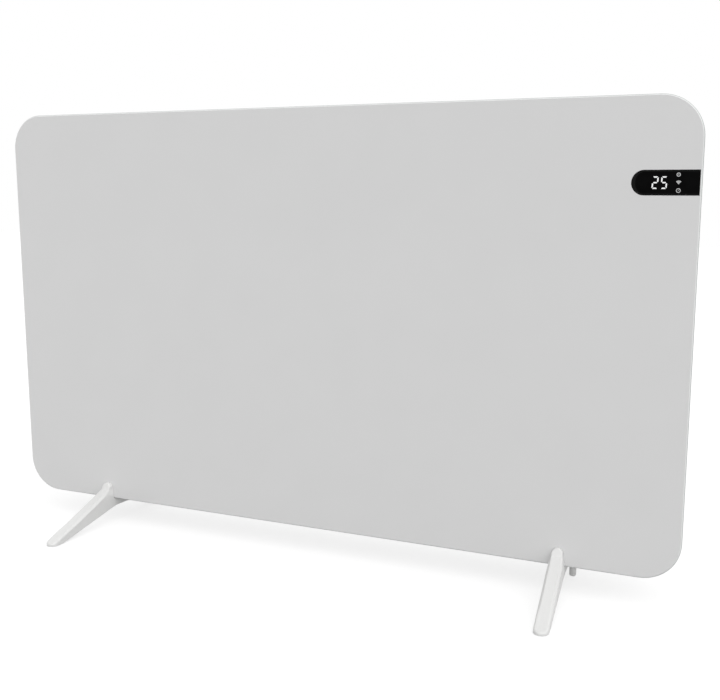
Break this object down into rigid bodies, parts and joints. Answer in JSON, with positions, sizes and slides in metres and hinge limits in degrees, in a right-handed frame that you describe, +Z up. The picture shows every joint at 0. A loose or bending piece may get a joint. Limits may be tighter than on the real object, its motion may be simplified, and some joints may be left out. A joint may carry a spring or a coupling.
{
  "type": "panel convector heater",
  "caption": "Slim white glass-fronted convector heater on two splayed feet, with a dark display window, an outlet grille on top and a tip-over switch.",
  "frame": {"origin": "on the floor, on the panel's middle line, midway between the front toes and the heels of the feet", "axes": "+Z up, +X to the right seen from the front, +Y to the back"},
  "size_m": [0.8, 0.2288, 0.496],
  "materials": {
    "white_glass": "toughened glass, white enamel behind, polished bevelled edge",
    "dark_window": "smoked gloss",
    "silicone": "matt",
    "zinc_steel": "zinc coated sheet",
    "white_steel": "white powder coat, fine texture",
    "screw_steel": "plated",
    "white_plastic": "moulded, fine grain",
    "foot_plastic": "moulded, satin",
    "plunger_plastic": "moulded, satin",
    "bright_aluminium": "rolled sheet",
    "fin_aluminium": "extruded",
    "ceramic": "glazed ceramic",
    "dark_plastic": "moulded",
    "black_plastic": "moulded, fine grain",
    "board_green": "solder mask",
    "relay_blue": "moulded",
    "brass": "plated",
    "led_white": "clear",
    "lead_grey": "flat lead",
    "wire_silicone": "silicone insulated",
    "spring_steel": "bright",
    "dark_rubber": "matt"
  },
  "bodies": {
    "heater": {"glass_panel": "white_glass", "display_window": "dark_window", "bond_strips": "silicone", "front_tray": "zinc_steel", "rear_cover": "white_steel", "cover_screws": "screw_steel", "outlet_grille": "white_plastic", "heat_shield": "bright_aluminium", "element_fins": "fin_aluminium", "element_rod": "screw_steel", "element_brackets": "zinc_steel", "element_insulators": "ceramic", "element_terminals": "screw_steel", "thermal_cutout": "dark_plastic", "thermal_fuse": "ceramic", "fuse_clip": "ceramic", "bulkhead": "zinc_steel", "bulkhead_grommet": "dark_rubber", "board_tray": "black_plastic", "power_board": "board_green", "board_screws": "screw_steel", "relays": "relay_blue", "transformer": "dark_plastic", "capacitors": "dark_plastic", "terminal_block": "white_plastic", "earth_screw": "brass", "display_holder": "black_plastic", "display_board": "board_green", "digit_module": "black_plastic", "icon_leds": "led_white", "touch_springs": "brass", "radio_module": "dark_plastic", "display_lead": "lead_grey", "sensor_clip": "white_plastic", "room_sensor": "dark_plastic", "element_leads": "wire_silicone", "foot_left": "foot_plastic", "foot_right": "foot_plastic", "foot_pads": "dark_rubber", "foot_plates": "zinc_steel", "foot_screws": "screw_steel", "tip_guide": "white_plastic", "tip_microswitch": "black_plastic", "rocker_housing": "black_plastic", "cable_gland": "white_plastic", "gland_nut": "white_plastic"},
    "plunger": {"tip_plunger": "plunger_plastic", "tip_spring": "spring_steel"},
    "lever": {"tip_lever": "spring_steel"},
    "rocker": {"power_rocker": "black_plastic"}
  },
  "joints": [
    {"name": "plunger_slide", "type": "slide", "parent": "heater", "child": "plunger", "axis": [0, 0, -1], "range_m": [0, 0.005], "stiffness_N_per_m": 120, "springref_m": 0.012, "deforming": ["tip_spring"]},
    {"name": "lever_hinge", "type": "hinge", "parent": "heater", "child": "lever", "pos_m": [0.3062, 0.04328, 0.08815], "axis": [0, -1, 0], "range_deg": [0, 12.7]},
    {"name": "rocker_hinge", "type": "hinge", "parent": "heater", "child": "rocker", "pos_m": [0.3885, 0.02668, 0.124], "axis": [0, 1, 0], "range_deg": [0, 16]}
  ],
  "couplings": [
    {"joint": "lever_hinge", "follows": "plunger_slide", "rad_per_m": 44}
  ]
}
